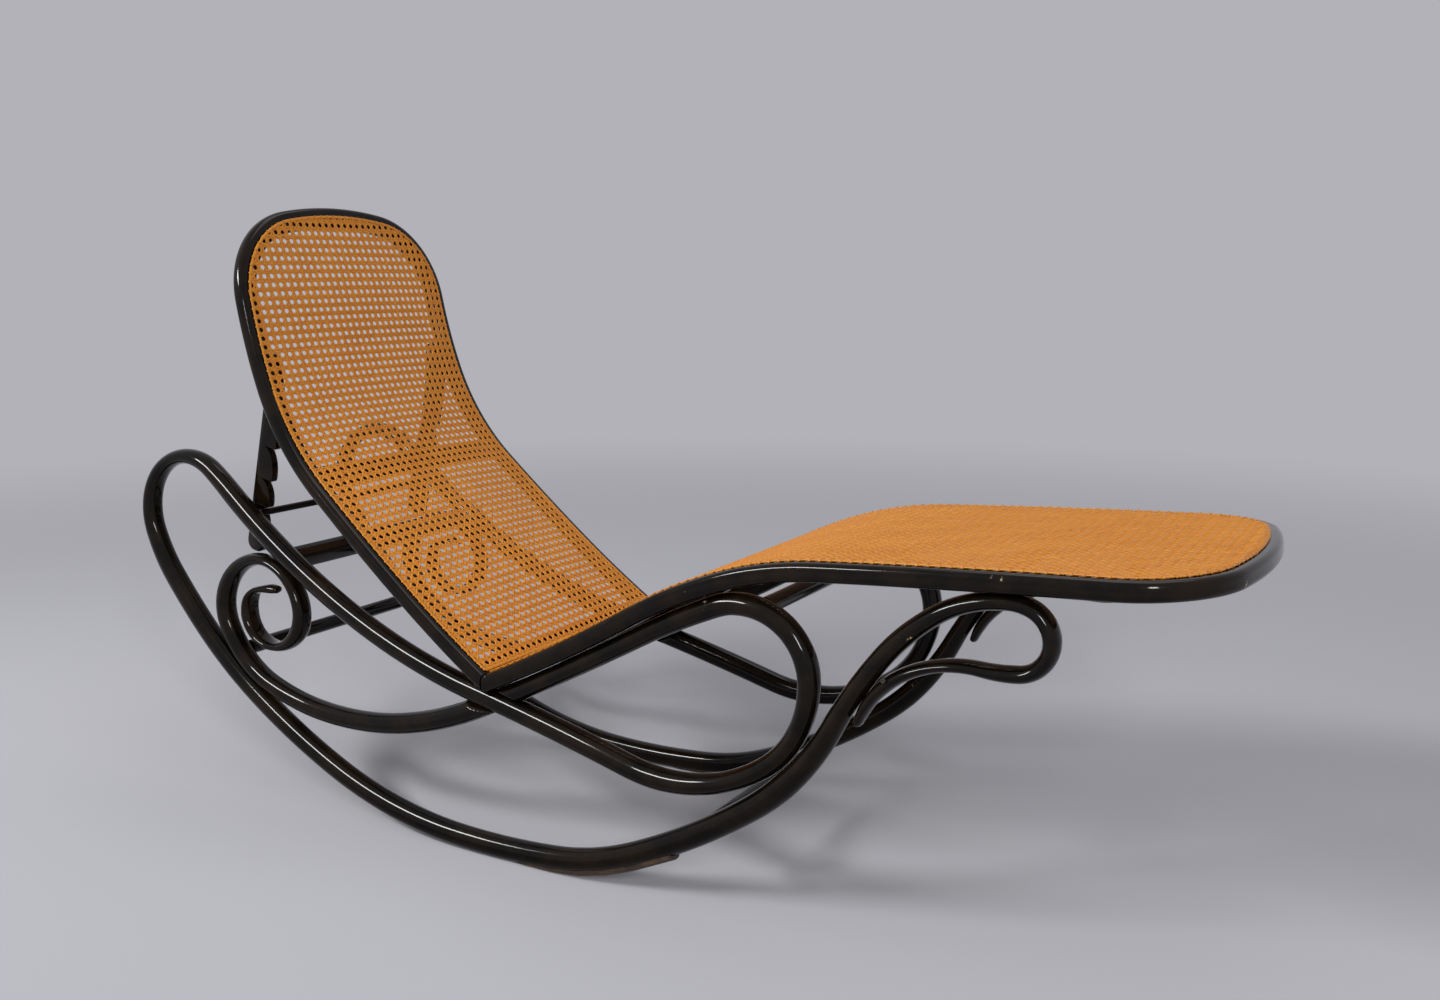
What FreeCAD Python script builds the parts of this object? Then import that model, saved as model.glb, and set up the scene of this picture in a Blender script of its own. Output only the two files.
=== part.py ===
import FreeCAD, Part
import math
import os
import Sketcher

# A rocking chaise in bent wood and cane. Each side is one line of bent rod: it starts as a scroll
# under the head end, runs up under the seat, loops down and back along the side, turns at the rear
# into the rocker, and ends as a loop under the foot end. The caned seat stands on the two sides.
# The caned back is hinged to it, and two notched boards prop the back on a cross rod.

doc = FreeCAD.newDocument("Chaise")
V = FreeCAD.Vector

# Driving sizes, millimetres and degrees
sheet = doc.addObject("Spreadsheet::Sheet", "Sizes")
SIZES = [
    # length that sets the profile: the bent line of each side, and all that is placed along it
    ("line_length", 1700.0),
    ("rod_plane", 211.5),
    ("rod_thickness", 33.0),
    ("rod_breadth", 32.0),
    ("rod_sides", 12),
    ("bend_tolerance", 0.75),
    # seat and back frames
    ("seat_reach", 1008.9),
    ("back_reach", 819.9),
    ("hoop_half_width", 218.0),
    ("hoop_breadth", 34.0),
    ("seat_depth", 24.0),
    ("back_depth", 20.0),
    ("back_taper", 10.7),
    ("hoop_round", 8.0),
    ("seat_corner_radius", 109.8),
    ("seat_end_radius", 640.1),
    ("back_corner_radius", 125.7),
    ("back_end_radius", 605.6),
    ("mitre_gap", 2.6),
    ("cane_thickness", 2.4),
    ("cane_margin", 14.0),
    ("seat_clearance", 0.3),
    # cross members
    ("prop_rod_diameter", 11.0),
    ("rear_bar_size", 27.0),
    ("rear_bar_drop", 9.0),
    ("cross_bar_diameter", 23.0),
    ("hinge_rail_breadth", 30.0),
    ("hinge_rail_depth", 14.0),
    ("hinge_rail_offset", 11.0),
    ("middle_rail_breadth", 38.0),
    ("middle_rail_depth", 14.0),
    # wear strip under the rocker
    ("strip_thickness", 5.0),
    # hinges between seat and back
    ("hinge_plane", 120.0),
    ("recline_limit", 11.5),
    ("leaf_thickness", 2.0),
    ("leaf_length", 64.0),
    ("leaf_breadth", 30.0),
    ("knuckle_diameter", 8.0),
    ("pin_diameter", 4.0),
    ("running_clearance", 0.05),
    # notched boards
    ("board_thickness", 12.0),
    ("board_width", 35.5),
    ("board_foot", 76.0),
    ("board_top_radius", 15.0),
    ("board_end_radius", 15.0),
    ("board_heel", 2.7),
    ("pivot_diameter", 8.0),
    ("pivot_head_diameter", 15.0),
    ("pivot_head_thickness", 3.0),
    ("upper_notch_pitch", 52.0),
    ("lower_notch_pitch", 42.0),
    ("notch_depth", 19.0),
    ("notch_rise", 3.2),
    ("rod_bite", 7.3),
]
for row, (alias, value) in enumerate(SIZES, 1):
    sheet.set("A%d" % row, alias)
    sheet.set("B%d" % row, repr(value))
    sheet.setAlias("B%d" % row, alias)
doc.recompute()


def size(alias):
    return float(sheet.get(alias))


# Places in the side view: shares of line_length behind or ahead of the middle, and above the floor
PLACE_SHARES = {
    "scroll_start": (-0.325471, 0.200471),
    "seat_start": (-0.082176, 0.152706),
    "back_start": (-0.091471, 0.156647),
    "hinge": (-0.084647, 0.147529),
    "prop_rod": (-0.351647, 0.266647),
}
# Tangent arcs of the side line: share of line_length, turn in degrees
SCROLL_SHARES = [
    (0.02059, 10.0), (0.01882, 58.0),
    (0.04190, 84.59), (0.07790, 128.47), (0.06914, 85.98), (0.05818, 64.05), (0.03403, 44.61),
    (0.07060, 42.72), (0.06167, 15.23), (0.09422, 17.71),
    (0.09415, 14.96), (0.17610, 3.27), (0.07328, -6.46),
    (0.05179, -51.51), (0.05619, -62.35), (0.08052, -54.16),
]
RAIL_SHARES = [
    (0.12349, -50.20), (0.15273, 3.37), (0.13559, -13.70), (0.18297, -15.63), (0.02560, 4.37),
    (0.04835, 52.18), (0.05721, 60.25), (0.03406, 34.41), (0.04740, 18.20), (0.05529, 5.06),
]
ROCKER_SHARES = [
    (0.08499, 12.16), (0.11458, 10.81), (0.14127, 20.84), (0.09916, 8.29), (0.07626, 18.00),
    (0.12591, 12.90), (0.09899, 26.72),
    (0.06647, -11.40), (0.05160, -17.70), (0.05269, -32.94), (0.01527, -25.11),
    (0.06160, -148.83), (0.02543, -12.55), (0.06048, 38.96), (0.04881, 37.41),
]
SCROLL_HEADING = -180.65
# Profiles of the seat and back frames, from the hinge outwards
SEAT_SHARES = [(0.15618, 5.55), (0.07729, -9.87), (0.08676, -16.58), (0.05800, -0.69),
               (0.12888, -1.11), (0.12000, 3.90)]
SEAT_HEADING = 24.9
BACK_SHARES = [(0.10000, -4.95), (0.12000, -2.97), (0.11000, -27.73), (0.07000, -8.51),
               (0.07500, 0.30), (0.08000, 0.42)]
BACK_HEADING = 146.15
# Thickness in the plane of the bend: share of the rod's length, share of rod_thickness
SCROLL_THICKNESS_SHARES = [
    (0.000, 0.36), (0.006, 0.45), (0.020, 0.29), (0.034, 0.41), (0.049, 0.585), (0.076, 0.44),
    (0.093, 0.43), (0.128, 0.74), (0.165, 0.585), (0.200, 0.50), (0.230, 0.70), (0.265, 0.87),
    (0.300, 0.87), (0.330, 0.845), (0.360, 0.845), (0.420, 0.91), (0.510, 0.94), (0.600, 0.94),
    (0.650, 0.825), (0.770, 0.825), (0.850, 0.89), (0.910, 0.89), (0.950, 0.805), (1.000, 0.805),
]
RAIL_THICKNESS_SHARES = [
    (0.000, 0.805), (0.045, 0.805), (0.110, 0.95), (0.200, 0.97), (0.680, 0.97), (0.720, 0.86),
    (0.755, 0.73), (0.790, 0.68), (0.825, 0.70), (0.880, 0.88), (0.935, 1.0), (1.000, 1.0),
]
ROCKER_THICKNESS_SHARES = [
    (0.000, 1.0), (0.600, 1.0), (0.675, 0.80), (0.740, 0.76), (0.785, 0.66), (0.820, 0.635),
    (0.850, 0.62), (0.885, 0.60), (0.906, 0.49), (0.932, 0.455), (0.968, 0.53), (0.990, 0.45),
    (1.000, 0.33),
]
# Breadth across the bend: share of the rod's length, share of rod_breadth
SCROLL_BREADTH_SHARES = [(0.0, 0.55), (0.010, 0.78), (0.035, 1.0), (1.0, 1.0)]
RAIL_BREADTH_SHARES = [(0.0, 1.0), (1.0, 1.0)]
ROCKER_BREADTH_SHARES = [(0.0, 1.0), (0.985, 1.0), (1.0, 0.75)]


def table(shares, at):
    for (a, p), (b, q) in zip(shares, shares[1:]):
        if at <= b:
            return p + (q - p) * (at - a) / (b - a)
    return shares[-1][1]


class Line:
    """A planar line of tangent arcs in the XZ plane."""

    def __init__(self, x, z, heading, shares, scale):
        self.arcs = []
        heading = math.radians(heading)
        run = 0.0
        for share, turn in shares:
            length = share * scale
            turn = math.radians(turn)
            radius = length / turn
            cx = x - math.sin(heading) * radius
            cz = z + math.cos(heading) * radius
            self.arcs.append((run, length, cx, cz, radius, heading, turn))
            heading += turn
            x = cx + math.sin(heading) * radius
            z = cz - math.cos(heading) * radius
            run += length
        self.length = run
        self.end = (x, z, math.degrees(heading))

    def at(self, run):
        arc = self.arcs[-1]
        for candidate in self.arcs:
            if run <= candidate[0] + candidate[1]:
                arc = candidate
                break
        start, length, cx, cz, radius, heading, turn = arc
        angle = heading + turn * (run - start) / length
        return cx + math.sin(angle) * radius, cz - math.cos(angle) * radius, angle

    def stations(self, tolerance):
        runs = []
        for start, length, cx, cz, radius, heading, turn in self.arcs:
            steps = max(1, math.ceil(length / math.sqrt(8 * tolerance * abs(radius))))
            runs += [start + length * i / steps for i in range(steps)]
        return runs + [self.length]

    def nearest(self, x, z, first=0.0, last=1.0):
        best = None
        count = 600
        for i in range(count + 1):
            run = self.length * (first + (last - first) * i / count)
            px, pz, angle = self.at(run)
            gap = math.hypot(px - x, pz - z)
            if best is None or gap < best[0]:
                best = (gap, run)
        return best[1]


def place(name):
    x, z = PLACE_SHARES[name]
    return x * span, z * span


span = size("line_length")
hinge_x, hinge_z = place("hinge")
prop_rod_x, prop_rod_z = place("prop_rod")
scroll_line = Line(*place("scroll_start"), SCROLL_HEADING, SCROLL_SHARES, span)
rail_line = Line(*scroll_line.end, RAIL_SHARES, span)
rocker_line = Line(*rail_line.end, ROCKER_SHARES, span)
seat_line = Line(*place("seat_start"), SEAT_HEADING, SEAT_SHARES, span)
back_line = Line(*place("back_start"), BACK_HEADING, BACK_SHARES, span)

pieces = []


def keep(piece):
    pieces.append(piece)
    return piece


def feature(label, shape, placement=FreeCAD.Placement()):
    piece = doc.addObject("Part::Feature", label)
    piece.Label = label
    piece.Shape = shape
    piece.Placement = placement
    return keep(piece)


def solid_of(sections):
    loft = Part.makeLoft(sections, True, True)
    return loft if loft.Volume > 0 else loft.reversed()


# Bent rods: oval sections, square to the line, joined by ruled faces
def rod_section(line, run, thickness, breadth, plane):
    x, z, angle = line.at(run)
    sides = int(size("rod_sides"))
    swell = 1 / math.sqrt(math.cos(math.pi / sides))
    points = []
    for i in range(sides):
        around = 2 * math.pi * (i + 0.5) / sides
        out = math.cos(around) * swell * thickness / 2
        points.append(V(x - math.sin(angle) * out,
                        plane + math.sin(around) * swell * breadth / 2,
                        z + math.cos(angle) * out))
    return Part.makePolygon(points + points[:1])


def rod_solid(line, thickness_shares, breadth_shares, plane):
    sections = []
    for run in line.stations(size("bend_tolerance")):
        share = run / line.length
        sections.append(rod_section(line, run,
                                    table(thickness_shares, share) * size("rod_thickness"),
                                    table(breadth_shares, share) * size("rod_breadth"), plane))
    return solid_of(sections)


# Hooped frames of the seat and back: a U laid on the curved profile, rounded at the free end
SIDE_SHARE = 0.97


class Hoop:
    def __init__(self, line, upward, reach, corner, crown, depth, taper):
        self.line = line
        self.upward = upward
        self.reach = reach
        self.corner = corner
        self.crown = crown
        self.depth = depth
        self.taper = taper
        self.half = size("hoop_half_width") - taper
        self.tip = math.asin((self.half - corner) / (crown - corner))
        self.corner_run = reach - crown + (crown - corner) * math.cos(self.tip)

    def half_at(self, run):
        return self.half + self.taper * max(0, 1 - run / self.corner_run)

    def side_runs(self):
        return [r for r in self.line.stations(size("bend_tolerance")) if r < self.corner_run * SIDE_SHARE]

    def outline(self):
        tolerance = size("bend_tolerance")
        stations = [(run, -self.half_at(run), 0.0) for run in self.side_runs()]
        turn = math.pi / 2 - self.tip
        steps = math.ceil(turn * self.corner / math.sqrt(8 * tolerance * self.corner))
        for i in range(steps + 1):
            angle = turn * i / steps
            stations.append((self.corner_run + math.sin(angle) * self.corner,
                             -self.half + self.corner - math.cos(angle) * self.corner, angle))
        steps = 2 * math.ceil(self.tip * self.crown / math.sqrt(8 * tolerance * self.crown))
        for i in range(1, steps):
            angle = turn + 2 * self.tip * i / steps
            stations.append((self.reach - self.crown + math.sin(angle) * self.crown,
                             -math.cos(angle) * self.crown, angle))
        first_half = stations[:len(stations) - steps + 1]
        return stations + [(run, -y, math.pi - angle) for run, y, angle in reversed(first_half)]

    def frame(self, run):
        x, z, angle = self.line.at(run)
        normal = V(-math.sin(angle), 0, math.cos(angle)) * self.upward
        return V(x, 0, z), V(math.cos(angle), 0, math.sin(angle)), normal

    def mitre(self, points, along, side):
        face = hinge_x + side * size("mitre_gap") / 2
        return [p + along * ((face - p.x) / along.x) for p in points]

    def solid(self, side):
        stations = self.outline()
        sections = []
        half = size("hoop_breadth") / 2
        round_over = size("hoop_round")
        for number, (run, y, turn) in enumerate(stations):
            point, along, normal = self.frame(run)
            across = along * -math.sin(turn) + V(0, 1, 0) * math.cos(turn)
            top = self.depth / 2
            bottom = -top
            ring = []
            for corner, (a, b) in enumerate(((1, 1), (-1, 1), (-1, -1), (1, -1))):
                edge = top if b > 0 else bottom
                for step in range(3):
                    swing = math.pi / 2 * (corner + step / 2)
                    ring.append(point + V(0, y, 0)
                                + across * (a * (half - round_over) + math.cos(swing) * round_over)
                                + normal * (edge - b * round_over + math.sin(swing) * round_over))
            if number in (0, len(stations) - 1):
                ring = self.mitre(ring, along, side)
            sections.append(Part.makePolygon(ring + ring[:1]))
        return solid_of(sections)

    def cane(self, side):
        grow = size("hoop_breadth") / 2 - size("cane_margin")
        low = self.depth / 2 + size("seat_clearance")
        high = low + size("cane_thickness")
        corner = self.corner + grow
        crown = self.crown + grow
        reach = self.reach + grow
        turn_run = self.corner_run + math.cos(self.tip) * corner
        stations = [(run, self.half_at(run) + grow) for run in self.side_runs()]
        steps = 8
        for i in range(steps + 1):
            angle = (math.pi / 2 - self.tip) * i / steps
            stations.append((self.corner_run + math.sin(angle) * corner,
                             self.half - self.corner + math.cos(angle) * corner))
        for i in range(1, steps):
            angle = self.tip * (1 - i / steps)
            stations.append((reach - crown + math.cos(angle) * crown, math.sin(angle) * crown))
        sections = []
        for number, (run, half) in enumerate(stations):
            point, along, normal = self.frame(run)
            ring = [point + V(0, y, 0) + normal * n
                    for y, n in ((-half, low), (half, low), (half, high), (-half, high))]
            if number == 0:
                ring = self.mitre(ring, along, side)
            sections.append(Part.makePolygon(ring + ring[:1]))
        return solid_of(sections)


seat_hoop = Hoop(seat_line, 1, size("seat_reach"), size("seat_corner_radius"), size("seat_end_radius"),
                 size("seat_depth"), 0.0)
back_hoop = Hoop(back_line, -1, size("back_reach"), size("back_corner_radius"), size("back_end_radius"),
                 size("back_depth"), size("back_taper"))

# Half lap where the under-seat run crosses the rail: the rail keeps the outer half
def cross_point():
    best = None
    for i in range(400):
        run = rail_line.length * i / 400
        x, z, angle = rail_line.at(run)
        other = scroll_line.nearest(x, z, 0.5, 0.8)
        px, pz, pangle = scroll_line.at(other)
        gap = math.hypot(px - x, pz - z)
        if best is None or gap < best[0]:
            best = (gap, x, z, run, other)
    return best


def corner_relief(plane):
    """Prism that the seat's corner, and the back's corner at full recline, sweep above the rods."""
    hinge = V(hinge_x, 0, hinge_z)
    turn = FreeCAD.Rotation(V(0, -1, 0), size("recline_limit"))
    corners = []
    for hoop, side, tilt in ((seat_hoop, 1, FreeCAD.Rotation()), (back_hoop, -1, turn)):
        for run in (size("hoop_breadth"), 0.0):
            point, along, normal = hoop.frame(run)
            point -= normal * (hoop.depth / 2 + size("seat_clearance"))
            if run == 0.0:
                point = hoop.mitre([point], along, side)[0]
            corners.append(hinge + tilt.multVec(point - hinge))
    corners = [corners[0], corners[1], corners[3], corners[2]]
    lift = V(0, 0, size("hoop_breadth"))
    ring = corners + [corners[3] + lift, corners[0] + lift, corners[0]]
    breadth = size("rod_breadth")
    face = Part.Face(Part.makePolygon([p + V(0, plane - breadth, 0) for p in ring]))
    return face.extrude(V(0, 2 * breadth, 0))


def floor_box(plane):
    breadth = size("rod_breadth")
    return Part.makeBox(span, breadth, breadth, V(-span / 2, plane - breadth / 2, -breadth))


lap = cross_point()
for side, sign in (("left", 1), ("right", -1)):
    plane = sign * size("rod_plane")
    scroll = rod_solid(scroll_line, SCROLL_THICKNESS_SHARES, SCROLL_BREADTH_SHARES, plane)
    rail = rod_solid(rail_line, RAIL_THICKNESS_SHARES, RAIL_BREADTH_SHARES, plane)
    rocker = rod_solid(rocker_line, ROCKER_THICKNESS_SHARES, ROCKER_BREADTH_SHARES, plane)
    reach = 4 * size("rod_thickness")
    breadth = size("rod_breadth")
    inner = Part.makeBox(2 * reach, breadth, 2 * reach,
                         V(lap[1] - reach, plane - breadth if sign > 0 else plane, lap[2] - reach))
    outer = Part.makeBox(2 * reach, breadth, 2 * reach,
                         V(lap[1] - reach, plane if sign > 0 else plane - breadth, lap[2] - reach))
    scroll_inner = scroll.common(inner)
    rail_outer = rail.common(outer)
    relief = corner_relief(plane)
    feature(side + "_scroll_rod", scroll.cut([rail_outer, relief]))
    rail = rail.cut([scroll_inner, relief])
    rod_seat = Part.makeCylinder(size("prop_rod_diameter") / 2 + size("running_clearance"),
                                 size("rod_plane") - size("rod_breadth") / 4,
                                 V(prop_rod_x, 0, prop_rod_z), V(0, sign, 0))
    feature(side + "_rail_rod", rail.cut(rod_seat))
    feature(side + "_rocker_rod", rocker.cut(floor_box(plane)))

doc.recompute()


# Strip that doubles the rocker where it bears on the floor, worn to a small flat where it rests
STRIP_SHARES = (0.335, 0.525)
STRIP_TAPER_SHARES = [(0.0, 0.12), (0.30, 1.0), (1.0, 1.0)]
STRIP_WRAP_SHARE = 0.34


def strip_solid(plane):
    runs = [r for r in rocker_line.stations(size("bend_tolerance"))
            if STRIP_SHARES[0] <= r / rocker_line.length <= STRIP_SHARES[1]]
    sections = []
    for run in runs:
        share = run / rocker_line.length
        wire = rod_section(rocker_line, run,
                           table(ROCKER_THICKNESS_SHARES, share) * size("rod_thickness"),
                           table(ROCKER_BREADTH_SHARES, share) * size("rod_breadth"), plane)
        corners = [v.Point for v in wire.OrderedVertexes]
        count = len(corners)
        wrap = max(2, 2 * int(count * STRIP_WRAP_SHARE / 2))
        inner = [corners[(count - wrap) // 2 + i] for i in range(wrap)]
        x, z, angle = rocker_line.at(run)
        taper = table(STRIP_TAPER_SHARES, (run - runs[0]) / (runs[-1] - runs[0]))
        drop = V(math.sin(angle), 0, -math.cos(angle)) * size("strip_thickness") * taper
        sections.append(Part.makePolygon(inner + [p + drop for p in reversed(inner)] + inner[:1]))
    return solid_of(sections).cut(floor_box(plane))


for side, sign in (("left", 1), ("right", -1)):
    feature(side + "_wear_strip", strip_solid(sign * size("rod_plane")))
feature("seat_hoop", seat_hoop.solid(1))
feature("seat_cane", seat_hoop.cane(1))
feature("back_hoop", back_hoop.solid(-1))
feature("back_cane", back_hoop.cane(-1))


# Cross members, round ones between the rods and flat ones between the hoop's inner faces
def bound(kind, name, expressions):
    item = doc.addObject(kind, name)
    for prop, text in expressions.items():
        item.setExpression(prop, text)
    return item


def across(x, z, half_width):
    return FreeCAD.Placement(V(x, half_width, z), FreeCAD.Rotation(V(1, 0, 0), 90))


def round_bar(label, x, z, diameter, half):
    bar = bound("Part::Cylinder", label, {"Radius": "Sizes.%s / 2" % diameter, "Height": "2 * (%s)" % half})
    bar.Label = label
    doc.recompute()
    bar.Placement = across(x, z, bar.Height.Value / 2)
    return keep(bar)


def flat_bar(label, point, along, normal, breadth, depth, half):
    bar = bound("Part::Box", label, {"Length": "Sizes." + breadth, "Width": "2 * (%s)" % half,
                                     "Height": "Sizes." + depth})
    bar.Label = label
    doc.recompute()
    turn = FreeCAD.Rotation(along, V(0, 1, 0), normal)
    bar.Placement = FreeCAD.Placement(point - V(0, bar.Width.Value / 2, 0), turn)
    return keep(bar)


BETWEEN_RODS = "Sizes.rod_plane - Sizes.rod_breadth / 2"
BETWEEN_RAILS = "Sizes.hoop_half_width - Sizes.hoop_breadth / 2"


def between_back_rails(run):
    return BETWEEN_RAILS + " - Sizes.back_taper * %r" % (run / back_hoop.corner_run)


SCROLL_BAR_SHARE = 0.3200
SEAT_BAR_SHARE = 0.8600
FRONT_BAR_SHARE = 0.5200
REAR_BAR_SHARE = 0.5900
MIDDLE_RAIL_SHARE = 0.4900

round_bar("prop_rod", prop_rod_x, prop_rod_z, "prop_rod_diameter",
          "Sizes.rod_plane - Sizes.rod_breadth / 4 - Sizes.seat_clearance")
for label, line, share in (("scroll_bar", scroll_line, SCROLL_BAR_SHARE),
                           ("seat_bar", scroll_line, SEAT_BAR_SHARE),
                           ("front_bar", rocker_line, FRONT_BAR_SHARE)):
    bar_x, bar_z, heading = line.at(share * line.length)
    round_bar(label, bar_x, bar_z, "cross_bar_diameter", BETWEEN_RODS)

bar_x, bar_z, heading = rail_line.at(REAR_BAR_SHARE * rail_line.length)
along = V(math.cos(heading), 0, math.sin(heading))
normal = V(-math.sin(heading), 0, math.cos(heading))
corner = V(bar_x, 0, bar_z - size("rear_bar_drop")) - (along + normal) * (size("rear_bar_size") / 2)
flat_bar("rear_bar", corner, along, normal, "rear_bar_size", "rear_bar_size", BETWEEN_RODS)

hinge = V(hinge_x, 0, hinge_z)
seat_along, seat_normal = seat_hoop.frame(0)[1:]
back_along, back_normal = back_hoop.frame(0)[1:]
flat_bar("seat_hinge_rail", hinge + seat_along * size("hinge_rail_offset"), seat_along, seat_normal,
         "hinge_rail_breadth", "hinge_rail_depth", BETWEEN_RAILS)
back_corner = hinge + back_along * (size("hinge_rail_offset") + size("hinge_rail_breadth"))
flat_bar("back_hinge_rail", back_corner, back_along * -1, back_normal,
         "hinge_rail_breadth", "hinge_rail_depth", between_back_rails(2 * size("hinge_rail_breadth")))
middle_run = MIDDLE_RAIL_SHARE * size("back_reach")
point, along, normal = back_hoop.frame(middle_run)
low = point - normal * (size("back_depth") / 2) + along * (size("middle_rail_breadth") / 2)
flat_bar("back_middle_rail", low, along * -1, normal, "middle_rail_breadth", "middle_rail_depth",
         between_back_rails(middle_run + size("middle_rail_breadth")))


# Butt hinges under the mitre: a leaf and knuckles on each frame, and a pin held by the seat's leaf
KNUCKLE_SHARES = {"seat": [(0.0, 0.27), (0.73, 1.0)], "back": [(0.27, 0.73)]}


def hinge_leaf(frame_name, along, normal, plane):
    square = V(0, 1, 0)
    length = size("leaf_length")
    radius = size("knuckle_diameter") / 2
    hand = 1 if square.cross(normal).dot(along) > 0 else -1
    near = radius + size("leaf_thickness")
    breadth = size("leaf_breadth")
    low = -size("leaf_thickness")
    shape = Part.makeBox(breadth, length, size("leaf_thickness"),
                         V(near if hand > 0 else -near - breadth, -length / 2, low))
    for first, last in KNUCKLE_SHARES[frame_name]:
        gap = size("seat_clearance") / 2
        start = -length / 2 + first * length + (gap if first > 0 else 0)
        end = -length / 2 + last * length - (gap if last < 1 else 0)
        barrel = Part.makeCylinder(radius, end - start, V(0, start, 0), V(0, 1, 0))
        tongue = Part.makeBox(near, end - start, size("leaf_thickness"),
                              V(0 if hand > 0 else -near, start, low))
        shape = shape.fuse([barrel, tongue])
    bore = size("pin_diameter") / 2 + (size("running_clearance") if frame_name == "back" else 0)
    pin = Part.makeCylinder(bore, length, V(0, -length / 2, 0), V(0, 1, 0))
    shape = shape.cut(pin) if frame_name == "back" else shape.fuse(pin)
    shape = shape.removeSplitter()
    turn = FreeCAD.Rotation(square.cross(normal), square, normal)
    shape.Placement = FreeCAD.Placement(hinge + V(0, plane, 0), turn)
    return shape


for frame_name, along, normal in (("seat", seat_along, seat_normal), ("back", back_along, back_normal)):
    leaves = [hinge_leaf(frame_name, along, normal, sign * size("hinge_plane")) for sign in (1, -1)]
    feature(frame_name + "_hinge_leaves", Part.makeCompound(leaves))


# Notched boards, hung on bolts through the side rails of the back. The prop rod lies in the lowest
# notch at rest; the two above it are for the lower settings.
PIVOT_SHARE = 0.7268
HEEL_SHARE = 0.24
FLANK_SHARES = [(0.0, 1.0), (0.50, 0.45), (1.0, 0.08)]
SHOULDER_SHARE = 0.19
END_SHARE = 0.5
pivot_run = PIVOT_SHARE * size("back_reach")
pivot_on_line, along, normal = back_hoop.frame(pivot_run)
pivot = pivot_on_line - normal * (size("board_top_radius") - size("back_depth") / 2)
wall = back_hoop.half_at(pivot_run) - size("hoop_breadth") / 2 - size("seat_clearance")
collar_face = wall - size("pivot_head_thickness")
board_plane = collar_face - size("seat_clearance") - size("board_thickness") / 2
rear_edge = -size("board_heel")
front_edge = rear_edge + size("board_width")
to_rod = V(prop_rod_x, 0, prop_rod_z) - pivot
lean = math.atan2(-to_rod.x, -to_rod.z) + math.asin((front_edge - size("rod_bite")) / to_rod.Length)
down = V(-math.sin(lean), 0, -math.cos(lean))
forward = V(math.cos(lean), 0, -math.sin(lean))
lowest_notch = to_rod.dot(down) - size("prop_rod_diameter") / 2 - size("notch_rise")
middle_notch = lowest_notch - size("lower_notch_pitch")
highest_notch = middle_notch - size("upper_notch_pitch")
notches = [(highest_notch, size("upper_notch_pitch")), (middle_notch, size("lower_notch_pitch")),
           (lowest_notch, size("upper_notch_pitch"))]


def board_outline():
    """Edges of the board, x down its length and y forward, from the pivot."""
    top = size("board_top_radius")
    end = size("board_end_radius")
    length = lowest_notch + size("board_foot")
    depth = size("notch_depth")
    edges = [Part.Arc(V(0, -top, 0), V(-top, 0, 0), V(0, top, 0))]
    last = V(0, top, 0)

    def line_to(target):
        nonlocal last
        edges.append(Part.LineSegment(last, target))
        last = target

    line_to(V(SHOULDER_SHARE * length, front_edge, 0))
    for notch, pitch in notches:
        if last.x < notch:
            line_to(V(notch, last.y, 0))
        line_to(V(notch, front_edge - depth, 0))
        flank = [V(notch + a * pitch, front_edge - b * depth, 0) for a, b in FLANK_SHARES]
        edges.append(Part.Arc(*flank))
        last = flank[-1]
    slope = math.sqrt(END_SHARE)
    low_front = last.y
    line_to(V(length - end, low_front, 0))
    edges.append(Part.Arc(last, V(length - end + end * slope, low_front - end + end * slope, 0),
                          V(length, low_front - end, 0)))
    last = V(length, low_front - end, 0)
    line_to(V(length, rear_edge + end, 0))
    edges.append(Part.Arc(last, V(length - end + end * slope, rear_edge + end - end * slope, 0),
                          V(length - end, rear_edge, 0)))
    last = V(length - end, rear_edge, 0)
    line_to(V(HEEL_SHARE * length, rear_edge, 0))
    line_to(V(0, -top, 0))
    return edges


def prop_board(label, plane):
    body = doc.addObject("PartDesign::Body", label)
    body.Label = label
    base = [item for item in body.Origin.OriginFeatures if item.Role == "XY_Plane"][0]
    outline = body.newObject("Sketcher::SketchObject", label + "_outline")
    outline.AttachmentSupport = [(base, "")]
    outline.MapMode = "FlatFace"
    for edge in board_outline():
        outline.addGeometry(edge)
    hole = outline.addGeometry(Part.Circle(V(0, 0, 0), V(0, 0, 1), size("pivot_diameter") / 2))
    outline.addConstraint(Sketcher.Constraint("Coincident", hole, 3, -1, 1))
    bore = outline.addConstraint(Sketcher.Constraint("Radius", hole, size("pivot_diameter") / 2))
    outline.setExpression("Constraints[%d]" % bore, "Sizes.pivot_diameter / 2 + Sizes.running_clearance")
    doc.recompute()
    pad = body.newObject("PartDesign::Pad", label + "_pad")
    pad.Profile = outline
    pad.Midplane = True
    pad.setExpression("Length", "Sizes.board_thickness")
    body.Tip = pad
    doc.recompute()
    turn = FreeCAD.Rotation(down, forward, down.cross(forward))
    body.Placement = FreeCAD.Placement(pivot + V(0, plane, 0), turn)
    return keep(body)


def pivot_bolt(label, sign):
    """Round shank through the board, with a head inside it and a collar outside."""
    inner = board_plane - size("board_thickness") / 2 - size("seat_clearance")
    head = size("pivot_head_thickness")
    runs = [("shank", "pivot_diameter", inner - head, wall),
            ("head", "pivot_head_diameter", inner - head, inner),
            ("collar", "pivot_head_diameter", collar_face, wall)]
    rounds = []
    for name, diameter, first, last in runs:
        item = bound("Part::Cylinder", label + "_" + name, {"Radius": "Sizes.%s / 2" % diameter})
        item.Height = last - first
        item.Placement = FreeCAD.Placement(pivot + V(0, sign * first, 0),
                                           FreeCAD.Rotation(V(0, 0, 1), V(0, sign, 0)))
        rounds.append(item)
    bolt = doc.addObject("Part::MultiFuse", label)
    bolt.Shapes = rounds
    bolt.Refine = True
    return bolt


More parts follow.
